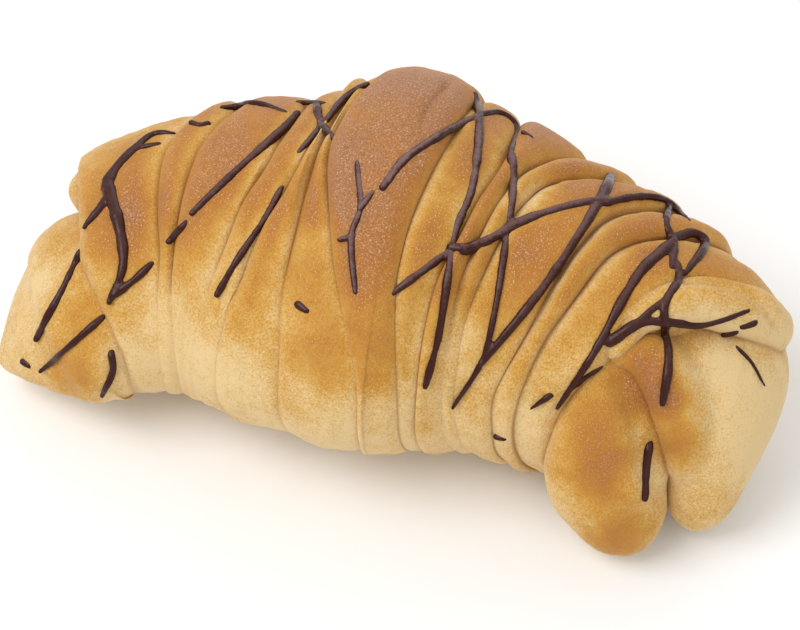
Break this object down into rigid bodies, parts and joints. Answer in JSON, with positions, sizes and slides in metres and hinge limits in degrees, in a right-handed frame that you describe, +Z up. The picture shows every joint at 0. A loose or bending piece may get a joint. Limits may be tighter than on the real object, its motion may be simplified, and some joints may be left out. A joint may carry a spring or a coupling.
{
  "type": "croissant",
  "caption": "Croissant of soft bread dough, wrapped in overlapping folds, with a dark chocolate drizzle.",
  "frame": {"origin": "on the flat underside, below the middle of the centre wrap", "axes": "+Z up, +X along the crescent from the single rounded horn to the horn split in two feet, both horns bent toward -Y"},
  "size_m": [0.1604, 0.086, 0.0664],
  "materials": {
    "crust": "matte baked crust, pale gold in the folds and pinkish brown on the crests, with a fine pale grain",
    "chocolate": "satin dark chocolate with a grey sheen on top"
  },
  "bodies": {
    "root": {"pastry": "crust", "horn_line_left": "chocolate", "horn_line_middle": "chocolate", "horn_line_right": "chocolate", "horn_drop": "chocolate", "left_fork": "chocolate", "ridge_drop": "chocolate", "ridge_line": "chocolate", "crown_line": "chocolate", "crown_fork": "chocolate", "ridge_line_short": "chocolate", "ridge_line_long": "chocolate", "front_speck": "chocolate", "dome_line": "chocolate", "main_web": "chocolate", "back_drop": "chocolate", "end_drops": "chocolate", "end_smear": "chocolate", "end_hairline": "chocolate", "front_tick": "chocolate", "front_drop": "chocolate", "foot_line": "chocolate"}
  },
  "joints": []
}
